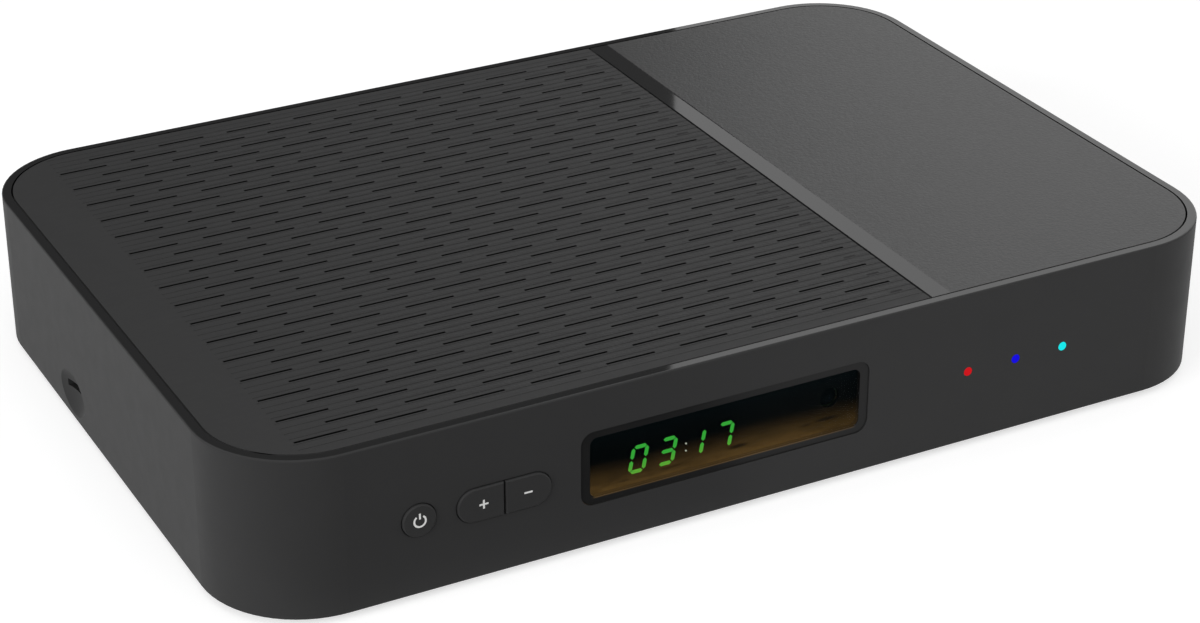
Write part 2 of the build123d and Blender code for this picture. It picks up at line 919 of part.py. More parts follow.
with BuildPart() as capacitors:
    with BuildSketch(level(board_top)):
        with Locations((supply_x, supply_y)):
            with GridLocations(capacitor_pitch, 0, capacitor_count, 1):
                Circle(capacitor_radius)
    extrude(amount=capacitor_height)

with BuildPart() as coils:
    with BuildSketch(level(board_top)):
        with Locations((supply_x, supply_y - supply_row_step)):
            with GridLocations(power_chip_pitch, 0, power_chip_count, 1):
                RectangleRounded(coil_side, coil_side, coil_side / 4)
    extrude(amount=coil_height)

with BuildPart() as power_chips:
    with BuildSketch(level(board_top)):
        with Locations((supply_x, supply_y - 2 * supply_row_step)):
            with GridLocations(power_chip_pitch, 0, power_chip_count, 1):
                Rectangle(power_chip_side, power_chip_side)
    extrude(amount=power_chip_height)


# Ribbon cable, arched between a header on the back of the front board and one on the main board

ribbon_z = board_top + header_height / 2
first_mouth = front_board_depth + board_thick + header_length
last_mouth = body_depth / 2 + board_front + header_inset
header_width = ribbon_width + 2 * header_wall

with BuildPart() as ribbon_headers:
    with BuildSketch(upright(first_mouth), upright(last_mouth + header_length)):
        with Locations((ribbon_x, ribbon_z)):
            Rectangle(header_width, header_height)
    extrude(amount=header_length)
    with BuildSketch(upright(first_mouth), upright(last_mouth + ribbon_insert + fit_gap)):
        with Locations((ribbon_x, ribbon_z)):
            Rectangle(ribbon_width + 2 * fit_gap, ribbon_thick + 2 * fit_gap)
    extrude(amount=ribbon_insert + fit_gap, mode=Mode.SUBTRACT)

with BuildPart() as ribbon_cable:
    start_y = first_mouth - ribbon_insert
    end_y = last_mouth + ribbon_insert
    side_plane = Plane(
        origin=(ribbon_x - ribbon_width / 2, front_y, foot_drop), x_dir=(0, 1, 0), z_dir=(1, 0, 0)
    )
    with BuildSketch(side_plane):
        with BuildLine():
            FilletPolyline(
                (start_y, ribbon_z),
                (start_y + ribbon_run, ribbon_z),
                ((start_y + end_y) / 2, ribbon_z + ribbon_rise),
                (end_y - ribbon_run, ribbon_z),
                (end_y, ribbon_z),
                radius=ribbon_bend,
            )
        trace(line_width=ribbon_thick)
    extrude(amount=ribbon_width)


# Rear panel, held between the rear wall and the sockets that it lets through

with BuildPart() as rear_panel:
    with BuildSketch(behind(0)):
        with Locations((0, rear_opening_z)):
            Rectangle(rear_opening_width + 2 * panel_lap, rear_opening_height + 2 * panel_lap)
        with Locations(*aerial_points):
            Circle(aerial_neck_radius + socket_gap, mode=Mode.SUBTRACT)
        with Locations((hdmi_x, board_top + hdmi_height / 2)):
            Rectangle(hdmi_width + 2 * socket_gap, hdmi_height + 2 * socket_gap, mode=Mode.SUBTRACT)
        with Locations((network_x, board_top + network_height / 2)):
            Rectangle(
                network_width + 2 * socket_gap, network_height + 2 * socket_gap, mode=Mode.SUBTRACT
            )
        with Locations((usb_x, board_top + usb_height / 2)):
            Rectangle(usb_width + 2 * socket_gap, usb_height + 2 * socket_gap, mode=Mode.SUBTRACT)
        with Locations((optical_x, board_top + optical_height / 2)):
            Rectangle(
                optical_width + 2 * socket_gap, optical_height + 2 * socket_gap, mode=Mode.SUBTRACT
            )
        with Locations((av_x, board_top + av_height / 2)):
            Circle(av_snout_radius + socket_gap, mode=Mode.SUBTRACT)
        with Locations((power_inlet_x, board_top + power_inlet_height / 2)):
            Rectangle(
                power_inlet_width + 2 * socket_gap,
                power_inlet_height + 2 * socket_gap,
                mode=Mode.SUBTRACT,
            )
    extrude(amount=panel_thick)


# Tuner can with its two aerial connectors, each clamped to the rear panel by a washer and a nut

with BuildPart() as tuner_can:
    with BuildSketch(behind(-(panel_thick + socket_gap))):
        with Locations((tuner_x, board_top + tuner_height / 2)):
            Rectangle(tuner_width, tuner_height)
    extrude(amount=tuner_depth)
    offset(amount=-can_thick, openings=tuner_can.faces().sort_by(Axis.Z)[0])

with BuildPart() as aerial_connectors:
    with BuildSketch(behind(aerial_length)):
        with Locations(*aerial_points):
            Circle(aerial_radius)
    extrude(amount=aerial_length)
    chamfer(aerial_connectors.edges().group_by(Axis.Y)[-1], aerial_edge)
    with BuildSketch(behind(washer_thick + nut_thick)):
        with Locations(*aerial_points):
            Circle(aerial_neck_radius)
    extrude(amount=washer_thick + nut_thick + panel_thick + socket_gap)
    with BuildSketch(behind(aerial_length)):
        with Locations(*aerial_points):
            Circle(aerial_pin_hole)
    extrude(amount=aerial_pin_depth, mode=Mode.SUBTRACT)

with BuildPart() as aerial_washers:
    with BuildSketch(behind(washer_thick)):
        with Locations(*aerial_points):
            Circle(washer_radius)
            Circle(aerial_neck_radius + fit_gap, mode=Mode.SUBTRACT)
    extrude(amount=washer_thick)

with BuildPart() as aerial_nuts:
    with BuildSketch(behind(washer_thick + nut_thick)):
        with Locations(*aerial_points):
            RegularPolygon(nut_across_flats / 2, 6, major_radius=False)
            Circle(aerial_neck_radius + flush_gap, mode=Mode.SUBTRACT)
    extrude(amount=nut_thick)


# Other sockets on the rear edge of the main board

with BuildPart() as network_socket:
    port_z = board_top + network_sill + network_latch_height + network_port_height / 2
    with BuildSketch(behind(0)):
        with Locations((network_x, board_top + network_height / 2)):
            Rectangle(network_width, network_height)
    extrude(amount=network_length)
    with BuildSketch(behind(0)):
        with Locations((network_x, port_z)):
            Rectangle(network_port_width, network_port_height)
        with Locations((network_x, board_top + network_sill + network_latch_height / 2)):
            Rectangle(network_latch_width, network_latch_height)
    extrude(amount=network_port_depth, mode=Mode.SUBTRACT)

with BuildPart() as hdmi_socket:
    with BuildSketch(behind(0)) as hdmi_face:
        with Locations((hdmi_x, board_top + hdmi_height / 2)):
            Rectangle(hdmi_width, hdmi_height)
        chamfer(hdmi_face.vertices().group_by(Axis.Y)[0], hdmi_corner)
        offset(amount=-shell_thick, mode=Mode.SUBTRACT)
    extrude(amount=hdmi_length)

with BuildPart() as hdmi_insulator:
    with BuildSketch(behind(-hdmi_length)) as hdmi_core:
        with Locations((hdmi_x, board_top + hdmi_height / 2)):
            Rectangle(hdmi_width, hdmi_height)
        chamfer(hdmi_core.vertices().group_by(Axis.Y)[0], hdmi_corner)
        offset(amount=-(shell_thick + flush_gap))
    extrude(amount=-insulator_block)
    with BuildSketch(behind(insulator_block - hdmi_length)):
        with Locations((hdmi_x, board_top + hdmi_height / 2)):
            Rectangle(hdmi_tongue_width, hdmi_tongue_thick)
    extrude(amount=-(hdmi_length - insulator_block - tongue_recess))

with BuildPart() as usb_socket:
    with BuildSketch(behind(0)):
        with Locations((usb_x, board_top + usb_height / 2)):
            Rectangle(usb_width, usb_height)
            Rectangle(usb_width - 2 * shell_thick, usb_height - 2 * shell_thick, mode=Mode.SUBTRACT)
    extrude(amount=usb_length)

with BuildPart() as usb_insulator:
    core_inset = 2 * (shell_thick + flush_gap)
    with BuildSketch(behind(-usb_length)):
        with Locations((usb_x, board_top + usb_height / 2)):
            Rectangle(usb_width - core_inset, usb_height - core_inset)
    extrude(amount=-insulator_block)
    with BuildSketch(behind(insulator_block - usb_length)):
        with Locations((usb_x, board_top + usb_height / 2 + usb_tongue_thick / 2)):
            Rectangle(usb_tongue_width, usb_tongue_thick)
    extrude(amount=-(usb_length - insulator_block - tongue_recess))

with BuildPart() as optical_socket:
    with BuildSketch(behind(0)):
        with Locations((optical_x, board_top + optical_height / 2)):
            Rectangle(optical_width, optical_height)
            Rectangle(optical_port, optical_port, mode=Mode.SUBTRACT)
    extrude(amount=optical_port_depth)
    with BuildSketch(behind(-optical_port_depth)):
        with Locations((optical_x, board_top + optical_height / 2)):
            Rectangle(optical_width, optical_height)
    extrude(amount=optical_length - optical_port_depth)
    with BuildSketch(behind(-optical_port_depth)):
        with Locations((optical_x, board_top + optical_height / 2)):
            Circle(optical_lens_radius)
    extrude(amount=-optical_lens_length)

with BuildPart() as av_jack:
    with BuildSketch(behind(-(panel_thick + socket_gap))):
        with Locations((av_x, board_top + av_height / 2)):
            Rectangle(av_width, av_height)
    extrude(amount=av_length)
    with BuildSketch(behind(0)):
        with Locations((av_x, board_top + av_height / 2)):
            Circle(av_snout_radius)
    extrude(amount=panel_thick + socket_gap)
    with BuildSketch(behind(0)):
        with Locations((av_x, board_top + av_height / 2)):
            Circle(av_bore_radius)
    extrude(amount=av_bore_depth, mode=Mode.SUBTRACT)

with BuildPart() as power_inlet:
    with BuildSketch(behind(0)):
        with Locations((power_inlet_x, board_top + power_inlet_height / 2)):
            Rectangle(power_inlet_width, power_inlet_height)
    extrude(amount=power_inlet_length)
    with BuildSketch(behind(0)):
        with Locations((power_inlet_x, board_top + power_inlet_height / 2)):
            Circle(power_bore_radius)
    extrude(amount=power_bore_depth, mode=Mode.SUBTRACT)
    with BuildSketch(behind(-power_bore_depth)):
        with Locations((power_inlet_x, board_top + power_inlet_height / 2)):
            Circle(power_pin_radius)
    extrude(amount=-power_pin_length)


# Card readers behind the two side slots

with BuildPart() as card_socket:
    mouth_depth = wall + card_pad_thick + card_mouth_gap
    with BuildSketch(left_side(mouth_depth + card_socket_length)):
        with Locations((-card_y, board_top + card_socket_height / 2)):
            Rectangle(card_socket_width, card_socket_height)
    extrude(amount=card_socket_length)
    with BuildSketch(left_side(mouth_depth)):
        with Locations((-card_y, card_z)):
            Rectangle(card_mouth_width, card_mouth_height)
    extrude(amount=-card_mouth_depth, mode=Mode.SUBTRACT)

with BuildPart() as smart_card_reader:
    with BuildSketch(right_side(wall + reader_gap + reader_length)):
        with Locations((smart_y, reader_z)):
            Rectangle(reader_width, reader_height)
    extrude(amount=reader_length)
    with BuildSketch(right_side(wall + reader_gap)):
        with Locations((smart_y, reader_z)):
            Rectangle(reader_mouth_width, reader_mouth_height)
    extrude(amount=-reader_mouth_depth, mode=Mode.SUBTRACT)


pieces = {
    "housing_shell": housing_shell,
    "base_plate": base_plate,
    "rubber_feet": rubber_feet,
    "base_screws": base_screws,
    "top_cover": top_cover,
    "rear_panel": rear_panel,
    "display_bezel": display_bezel,
    "display_lens": display_lens,
    "display_backing": display_backing,
    "display_segments": display_segments,
    "display_colon": display_colon,
    "display_module": display_module,
    "infrared_receiver": infrared_receiver,
    "power_button": power_button,
    "programme_up_button": programme_up_button,
    "programme_down_button": programme_down_button,
    "switch_bodies": switch_bodies,
    "power_plunger": power_plunger,
    "programme_up_plunger": programme_up_plunger,
    "programme_down_plunger": programme_down_plunger,
    "red_light_pipe": red_light_pipe,
    "blue_light_pipe": blue_light_pipe,
    "cyan_light_pipe": cyan_light_pipe,
    "indicator_leds": indicator_leds,
    "front_board": front_board,
    "front_board_screws": front_board_screws,
    "main_board": main_board,
    "main_board_screws": main_board_screws,
    "processor": processor,
    "heat_sink": heat_sink,
    "memory_chips": memory_chips,
    "capacitors": capacitors,
    "coils": coils,
    "power_chips": power_chips,
    "ribbon_headers": ribbon_headers,
    "ribbon_cable": ribbon_cable,
    "tuner_can": tuner_can,
    "aerial_connectors": aerial_connectors,
    "aerial_washers": aerial_washers,
    "aerial_nuts": aerial_nuts,
    "network_socket": network_socket,
    "hdmi_socket": hdmi_socket,
    "hdmi_insulator": hdmi_insulator,
    "usb_socket": usb_socket,
    "usb_insulator": usb_insulator,
    "optical_socket": optical_socket,
    "av_jack": av_jack,
    "power_inlet": power_inlet,
    "card_socket": card_socket,
    "smart_card_reader": smart_card_reader,
}

os.makedirs("parts", exist_ok=True)
for name, piece in pieces.items():
    piece.part.label = name
    export_step(piece.part, f"parts/{name}.step")
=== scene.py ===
"""Looks of a satellite television receiver: materials, small marks, lights and camera."""

import math

import bmesh
import bpy
from mathutils import Matrix, Vector


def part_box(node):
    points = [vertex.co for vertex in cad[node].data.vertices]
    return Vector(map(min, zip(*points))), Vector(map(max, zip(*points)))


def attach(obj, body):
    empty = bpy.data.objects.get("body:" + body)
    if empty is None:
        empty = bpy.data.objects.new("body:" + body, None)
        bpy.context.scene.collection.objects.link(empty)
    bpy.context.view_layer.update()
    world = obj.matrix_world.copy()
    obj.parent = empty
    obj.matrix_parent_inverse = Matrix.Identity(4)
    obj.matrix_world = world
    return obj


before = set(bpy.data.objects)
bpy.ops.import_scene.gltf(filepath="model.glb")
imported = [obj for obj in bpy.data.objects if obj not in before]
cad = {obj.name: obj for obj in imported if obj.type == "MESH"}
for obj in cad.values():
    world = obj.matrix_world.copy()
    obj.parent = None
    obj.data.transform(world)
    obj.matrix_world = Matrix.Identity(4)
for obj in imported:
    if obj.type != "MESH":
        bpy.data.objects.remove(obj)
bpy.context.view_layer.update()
scene = bpy.context.scene

MM = 0.001
shell_low, shell_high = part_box("housing_shell")
FRONT = shell_low.y
TOP = shell_high.z
UNDERSIDE = shell_low.z
MID_Y = (shell_low.y + shell_high.y) / 2
WINDOW_X = -12.2 * MM

# The cover's smooth strip
STRIP_LEFT = 43.3 * MM
STRIP_RIGHT = 48.45 * MM

# The cover's slots: middle of the rightmost column, step and number of the last column to its
# left, half a slot's length, and the rows, counted from the front and placed from MID_Y
SLOT_X = 32.85 * MM
SLOT_STEP = 9.3 * MM
SLOT_LAST = 15
SLOT_HALF = 6.05 * MM
ROW_STEP = 5.05 * MM
FIRST_ROW = -78.275 * MM

# The cover's ribs: their step, and where their painted shade is darkest, from a rib's middle
RIB_STEP = ROW_STEP / 2
RIB_SHADE = -0.6 * MM

SHELL_COLOR = (0.03, 0.03, 0.0303)
# Colour of the amber glow painted in the window and on the bezel
AMBER = (0.19, 0.111, 0.034)
BLACK = (0.0, 0.0, 0.0)
POLISHED = 0.035


# Materials ------------------------------------------------------------------------------------


def grey(level):
    return (level, level, level)


def times(color, share):
    return tuple(share * c for c in color)


def emptied_tree(owner):
    """Node tree of a material or a world, with nothing in it yet."""
    owner.use_nodes = True
    owner.node_tree.nodes.clear()
    return owner.node_tree


class Material:
    """A node material with one Principled shader, built from small steps."""

    def __init__(self, name, color, rough, spec=0.5, metal=0.0, alpha=1.0):
        self.mat = bpy.data.materials.new(name)
        self.tree = emptied_tree(self.mat)
        out = self.node("ShaderNodeOutputMaterial")
        self.bsdf = self.node("ShaderNodeBsdfPrincipled")
        self.link(self.bsdf.outputs[0], out.inputs[0])
        self.coord = self.node("ShaderNodeTexCoord").outputs["Object"]
        self.color = color
        self.set("Base Color", (*color, 1))
        self.set("Roughness", rough)
        self.set("Specular IOR Level", spec)
        self.set("Metallic", metal)
        self.set("Alpha", alpha)
        self.mat.diffuse_color = (*color, 1)

    def set(self, name, value):
        self.bsdf.inputs[name].default_value = value

    def node(self, kind):
        return self.tree.nodes.new(kind)

    def link(self, source, target):
        self.tree.links.new(source, target)

    def into(self, source, name):
        self.link(source, self.bsdf.inputs[name])

    def scaled(self, scale):
        """Object coordinates, scaled per axis."""
        mapping = self.node("ShaderNodeMapping")
        self.link(self.coord, mapping.inputs["Vector"])
        mapping.inputs["Scale"].default_value = scale
        return mapping.outputs[0]

    def texture(self, kind, scale, vector=None):
        node = self.node(kind)
        node.inputs["Scale"].default_value = scale
        self.link(vector or self.coord, node.inputs["Vector"])
        return node

    def noise(self, size, detail=3.0, rough=0.55, vector=None):
        """Noise whose features are about size metres across."""
        node = self.texture("ShaderNodeTexNoise", 1 / size, vector)
        node.inputs["Detail"].default_value = detail
        node.inputs["Roughness"].default_value = rough
        return node.outputs["Fac"]

    def cells(self, size):
        """Distance to the nearest of points about size metres apart."""
        return self.texture("ShaderNodeTexVoronoi", 1 / size).outputs["Distance"]

    def bands(self, scale):
        return self.texture("ShaderNodeTexWave", scale).outputs["Fac"]

    def math(self, operation, a, b=None):
        node = self.node("ShaderNodeMath")
        node.operation = operation
        for socket, value in zip(node.inputs, (a, b)):
            if value is None:
                continue
            if isinstance(value, (int, float)):
                socket.default_value = value
            else:
                self.link(value, socket)
        return node.outputs[0]

    def product(self, value, *factors):
        for factor in factors:
            value = self.math("MULTIPLY", value, factor)
        return value

    def remap(self, value, low, high, to_low=0.0, to_high=1.0, smooth=False):
        node = self.node("ShaderNodeMapRange")
        if smooth:
            node.interpolation_type = "SMOOTHSTEP"
        self.link(value, node.inputs[0])
        for socket, number in zip(node.inputs[1:5], (low, high, to_low, to_high)):
            socket.default_value = number
        return node.outputs[0]

    def color_node(self, factor, a, b, blend="MIX"):
        """Colour node. Numbers and tuples are set, and sockets are linked."""
        node = self.node("ShaderNodeMix")
        node.data_type, node.blend_type = "RGBA", blend
        if isinstance(factor, float):
            node.inputs[0].default_value = factor
        else:
            self.link(factor, node.inputs[0])
        for socket, value in zip((node.inputs[6], node.inputs[7]), (a, b)):
            if isinstance(value, tuple):
                socket.default_value = (*value, 1)
            else:
                self.link(value, socket)
        return node.outputs[2]

    def mix(self, factor, a, b):
        """Colours a to b by factor."""
        return self.color_node(factor, a, b)

    def axis(self, name):
        node = self.node("ShaderNodeSeparateXYZ")
        self.link(self.coord, node.inputs[0])
        return node.outputs["XYZ".index(name)]

    def normals(self):
        """The surface normal's x, y and z."""
        node = self.node("ShaderNodeSeparateXYZ")
        self.link(self.node("ShaderNodeNewGeometry").outputs["Normal"], node.inputs[0])
        return tuple(node.outputs)

    def uneven(self, size, share, color):
        """Colour that varies slowly by a share either way."""
        return self.mix(self.noise(size, 4.0), times(color, 1 - share), times(color, 1 + share))

    def mottle(self, size, share):
        self.into(self.uneven(size, share, self.color), "Base Color")

    def emit(self, color, strength=1.0):
        self.into(color, "Emission Color")
        self.set("Emission Strength", strength)

    def bump(self, height, strength, distance):
        node = self.node("ShaderNodeBump")
        node.inputs["Strength"].default_value = strength
        node.inputs["Distance"].default_value = distance
        self.link(height, node.inputs["Height"])
        self.into(node.outputs[0], "Normal")


def moulded(name, color, rough, spec, grain, depth, share=0.08, spread=0.06):
    """Moulded plastic with a fine eroded texture and slight unevenness."""
    m = Material(name, color, rough, spec)
    m.mottle(9 * MM, share)
    m.into(m.remap(m.noise(5 * MM, 4.0), 0.3, 0.7, rough - spread, rough + spread), "Roughness")
    fine = m.noise(grain, 3.0, 0.6)
    pits = m.cells(grain * 1.7)
    m.bump(m.math("ADD", fine, m.product(pits, 0.5)), 0.6, depth)
    return m


def plated(name, color, rough, grain, stretch=(1, 1, 1)):
    """Plated or rolled metal with faint lines and patches of duller finish."""
    m = Material(name, color, rough, metal=1.0)
    m.mottle(6 * MM, 0.08)
    lines = m.noise(grain, 5.0, 0.7, m.scaled(stretch))
    m.into(m.remap(lines, 0.3, 0.7, rough * 0.75, rough * 1.4), "Roughness")
    m.bump(lines, 0.5, 0.004 * MM)
    return m


def housing_material():
    """Shell plastic: textured walls, a polished level rim, and painted shade round the cover."""
    m = Material("housing_moulded", SHELL_COLOR, 0.56, 0.115)
    normal_x, normal_y, normal_z = m.normals()
    level = m.remap(normal_z, 0.6, 0.9)
    walls = m.math("SUBTRACT", 1.0, level)
    wall_rough = m.remap(m.noise(5 * MM, 4.0), 0.3, 0.7, 0.52, 0.56)
    m.into(m.math("ADD", m.product(wall_rough, walls), POLISHED), "Roughness")
    m.into(m.product(level, 0.27), "Coat Weight")
    m.set("Coat Roughness", POLISHED)
    open_color = m.mix(level, m.uneven(8 * MM, 0.03, SHELL_COLOR), times(SHELL_COLOR, 0.78))
    facing_in = m.math(
        "ADD",
        m.product(normal_x, m.axis("X")),
        m.product(normal_y, m.math("SUBTRACT", m.axis("Y"), MID_Y)),
    )
    # Painted shade: inward walls in the top 3 mm, round the cover, go near-black and metallic
    gap_shade = m.product(
        m.remap(facing_in, -5 * MM, -20 * MM),
        m.remap(m.axis("Z"), TOP - 3 * MM, TOP - 2.8 * MM),
    )
    m.into(m.mix(gap_shade, open_color, grey(0.002)), "Base Color")
    m.into(gap_shade, "Metallic")
    m.bump(m.product(m.noise(0.42 * MM, 3.0, 0.6), walls), 0.4, 0.012 * MM)
    return m


def slot_edge_shade(m, x, from_middle):
    """One where shade is painted on the narrow level edges beside each slot, wider on the far
    side.
    """
    column = m.product(m.math("SUBTRACT", SLOT_X, x), 1 / SLOT_STEP)
    row = m.product(m.math("SUBTRACT", from_middle, FIRST_ROW), 1 / ROW_STEP)
    nearest_row = m.math("ROUND", row)
    odd = m.math("MODULO", m.math("ADD", nearest_row, 1.0), 2.0)
    pair = m.math("ROUND", m.product(m.math("SUBTRACT", column, odd), 0.5))
    nearest = m.math("ADD", m.product(pair, 2.0), odd)
    along = m.product(m.math("ABSOLUTE", m.math("SUBTRACT", column, nearest)), SLOT_STEP)
    across = m.product(m.math("SUBTRACT", row, nearest_row), ROW_STEP)
    return m.product(
        m.remap(along, SLOT_HALF + 0.2 * MM, SLOT_HALF),
        m.remap(across, 0.46 * MM, 0.4 * MM),
        m.remap(across, -0.37 * MM, -0.32 * MM),
        m.remap(x, SLOT_X + 6.4 * MM, SLOT_X + 6.3 * MM),
        m.math("LESS_THAN", nearest, SLOT_LAST + 0.5),
    )


def cover_material():
    """Cover plastic: a satin ribbed field, a smooth strip and a grained panel."""
    m = Material("cover_moulded", SHELL_COLOR, 0.4, 0.2)
    low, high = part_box("top_cover")
    x = m.axis("X")
    z = m.axis("Z")
    from_middle = m.math("SUBTRACT", m.axis("Y"), MID_Y)

    # The three parts, from left to right
    past_line = m.remap(x, STRIP_LEFT - 0.6 * MM, STRIP_LEFT - 0.2 * MM)
    past_strip = m.remap(x, STRIP_RIGHT - 0.35 * MM, STRIP_RIGHT + 0.35 * MM, smooth=True)
    on_strip = m.math("SUBTRACT", past_line, past_strip)
    before_line = m.math("SUBTRACT", 1.0, past_line)

    # Painted shade: slot insides and the edges beside them go near-black and partly metallic
    off_end = m.remap(m.math("ABSOLUTE", from_middle), 81 * MM, 80 * MM)
    off_side = m.remap(x, low.x + 5 * MM, low.x + 6 * MM)
    in_slots = m.product(off_end, off_side, m.remap(x, 41.5 * MM, 41 * MM))
    below_grooves = m.remap(z, high.z - 0.051 * MM, high.z - 0.058 * MM)
    painted_edge_shade = m.product(slot_edge_shade(m, x, from_middle), m.product(in_slots, 0.9))
    inside = m.math("MAXIMUM", m.product(below_grooves, in_slots), painted_edge_shade)

    # Painted shade of the ribs, weaker towards the left
    ribs_from_left = m.remap(x, low.x + 11 * MM, low.x + 60 * MM, 0.1, 1.0)
    on_field = m.product(ribs_from_left, before_line, off_end)
    past_shade = m.math("SUBTRACT", from_middle, RIB_SHADE)
    wave = m.math("COSINE", m.product(past_shade, 2 * math.pi / RIB_STEP))
    streak = m.remap(m.noise(1.5 * MM, 2.0, 0.5, m.scaled((0.35, 1, 1))), 0.35, 0.65, -0.15, -0.9)
    shade = m.math("ADD", 0.5, m.product(wave, on_field, streak))
    open_color = m.uneven(7 * MM, 0.04, SHELL_COLOR)
    ribbed = m.color_node(1.0, open_color, m.mix(shade, grey(0.84), grey(1.14)), "MULTIPLY")
    m.into(m.mix(inside, ribbed, grey(0.003)), "Base Color")
    m.into(m.product(inside, 0.3), "Metallic")

    field_rough = m.remap(m.noise(4 * MM, 4.0), 0.3, 0.7, 0.58, 0.64)
    grain = m.noise(0.75 * MM, 2.0, 0.55)
    panel_rough = m.remap(grain, 0.3, 0.7, 0.32, 0.4)
    rough = m.math("ADD", m.product(field_rough, before_line), m.product(panel_rough, past_strip))
    m.into(m.math("ADD", rough, m.product(on_strip, POLISHED)), "Roughness")

    # Painted light: a faint glow in the seam round the cover, which lightens its shade
    seam = m.product(
        m.remap(z, high.z - 0.08 * MM, high.z - 0.12 * MM),
        m.remap(z, high.z - 2.0 * MM, high.z - 0.5 * MM),
        m.math("SUBTRACT", 1.0, m.product(off_end, off_side)),
    )
    m.emit(m.mix(seam, BLACK, grey(0.01)))

    fine = m.noise(0.5 * MM, 3.0, 0.6, m.scaled((0.6, 1, 1)))
    on_ribs = m.product(fine, m.product(on_field, 2.4))
    m.bump(m.math("ADD", on_ribs, m.product(grain, past_strip)), 1.0, 0.05 * MM)
    return m


def lens_material():
    """Smoked clear window with faint wipe marks."""
    m = Material("lens_smoked", grey(0.002), 0.05, 0.016, alpha=0.3)
    wipes = m.noise(6 * MM, 3.0, 0.5, m.scaled((1, 1, 3)))
    m.into(m.remap(wipes, 0.3, 0.7, 0.04, 0.09), "Roughness")
    m.into(m.mix(wipes, grey(0.0012), (0.0024, 0.0024, 0.0026)), "Base Color")
    return m


def distance_squared(m, across, along):
    return m.math("ADD", m.product(across, across), m.product(along, along))


def spot(m, x, z, reach_x, reach_z, depth):
    """One minus a soft oval dark patch centred at x and z, in millimetres."""
    from_x = m.math("SUBTRACT", m.axis("X"), x * MM)
    from_z = m.math("SUBTRACT", m.axis("Z"), UNDERSIDE + z * MM)
    across = m.product(from_x, 1 / (reach_x * MM))
    along = m.product(from_z, 1 / (reach_z * MM))
    return m.remap(distance_squared(m, across, along), 0.1, 1.3, 1 - depth, 1.0, smooth=True)


def amber_level(m, raised=0.0):
    """Share of the painted amber glow over the height: none above, most at the lower edge."""
    wave = m.product(m.math("SUBTRACT", m.noise(16 * MM, 2.0), 0.5), 2.4 * MM)
    z = m.math("ADD", m.axis("Z"), wave)
    slope = m.remap(z, UNDERSIDE + (19.5 + raised) * MM, UNDERSIDE + (9.9 + raised) * MM)
    return m.math("POWER", slope, 1.6)


# Dark patches in painted amber glow: x, height over the underside, half width, half height, depth
PATCHES = (
    (-8.0, 14.0, 2.9, 0.6, 0.75),
    (9.9, 14.6, 1.6, 0.4, 0.5),
    (15.4, 14.9, 3.4, 0.55, 0.7),
    (-25.5, 13.3, 3.2, 0.4, 0.4),
    (-37.5, 13.0, 1.6, 0.35, 0.35),
)


def backing_material():
    """Backing behind the window: black above, painted amber glow below, with faint dark streaks.
    """
    m = Material("backing_amber", (0.02, 0.012, 0.005), 0.7, 0.02)
    streaks = m.noise(2.6 * MM, 4.0, 0.6, m.scaled((0.45, 1, 1.9)))
    facing_front = m.remap(m.normals()[1], -0.3, -0.8)
    level = m.product(
        amber_level(m),
        m.remap(streaks, 0.34, 0.58, 0.72, 1.05),
        *[spot(m, *patch) for patch in PATCHES],
        m.remap(m.axis("X"), 10 * MM, 20 * MM, 1.0, 0.62, smooth=True),
        facing_front,
    )
    high_up = m.remap(m.axis("Z"), UNDERSIDE + 21.5 * MM, UNDERSIDE + 26.5 * MM)
    # Painted glow above the amber: faint bluish, brighter towards the top
    dark = m.mix(high_up, (0.0005, 0.0018, 0.002), (0.0011, 0.0038, 0.0048))
    m.into(m.mix(level, grey(0.002), times(AMBER, 0.3)), "Base Color")
    m.emit(m.mix(m.math("MINIMUM", level, 0.72), dark, AMBER))
    return m


def bezel_material():
    """Dark bezel, with the window's amber light painted as a glow on its inner edges below."""
    color = (0.0125, 0.0125, 0.0127)
    m = moulded("bezel_satin", color, 0.35, 0.115, 1.2 * MM, 0.003 * MM, 0.12)
    z = m.axis("Z")
    inside = m.remap(m.axis("Y"), FRONT + 0.33 * MM, FRONT + 0.5 * MM)
    from_side = m.math("ABSOLUTE", m.math("SUBTRACT", m.axis("X"), WINDOW_X))
    # Painted light: inner walls and the lower lip by the window glow amber
    lip = m.product(
        m.remap(z, UNDERSIDE + 11.8 * MM, UNDERSIDE + 12.1 * MM),
        m.remap(z, UNDERSIDE + 12.6 * MM, UNDERSIDE + 12.4 * MM),
        m.remap(from_side, 34.4 * MM, 33.4 * MM, 0, 0.7),
    )
    level = m.product(
        amber_level(m, 0.9),
        m.math("MAXIMUM", inside, lip),
        m.remap(m.axis("X"), 8 * MM, 22 * MM, 1.0, 0.6, smooth=True),
    )
    m.emit(m.mix(level, BLACK, times(AMBER, 0.68)))
    return m


def glowing(name, color, glow, strength, falloff=0.1):
    """Lit plastic with a slightly uneven glow."""
    m = Material(name, color, 0.35, 0.04)
    m.emit(m.mix(m.noise(0.8 * MM, 2.0), times(glow, 1 - falloff), glow), strength)
    return m


def segment_material():
    """Green segments, a little yellower towards their lower ends."""
    m = Material("segments_lit", (0.004, 0.02, 0.004), 0.4, 0.05)
    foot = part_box("display_segments")[0].z
    rise = m.remap(m.axis("Z"), foot + 0.2 * MM, foot + 3.4 * MM)
    glow = m.mix(rise, (0.3, 0.64, 0.05), (0.055, 0.66, 0.07))
    m.emit(m.mix(m.noise(0.7 * MM, 2.0), glow, (0.06, 0.56, 0.06)), 1.15)
    return m


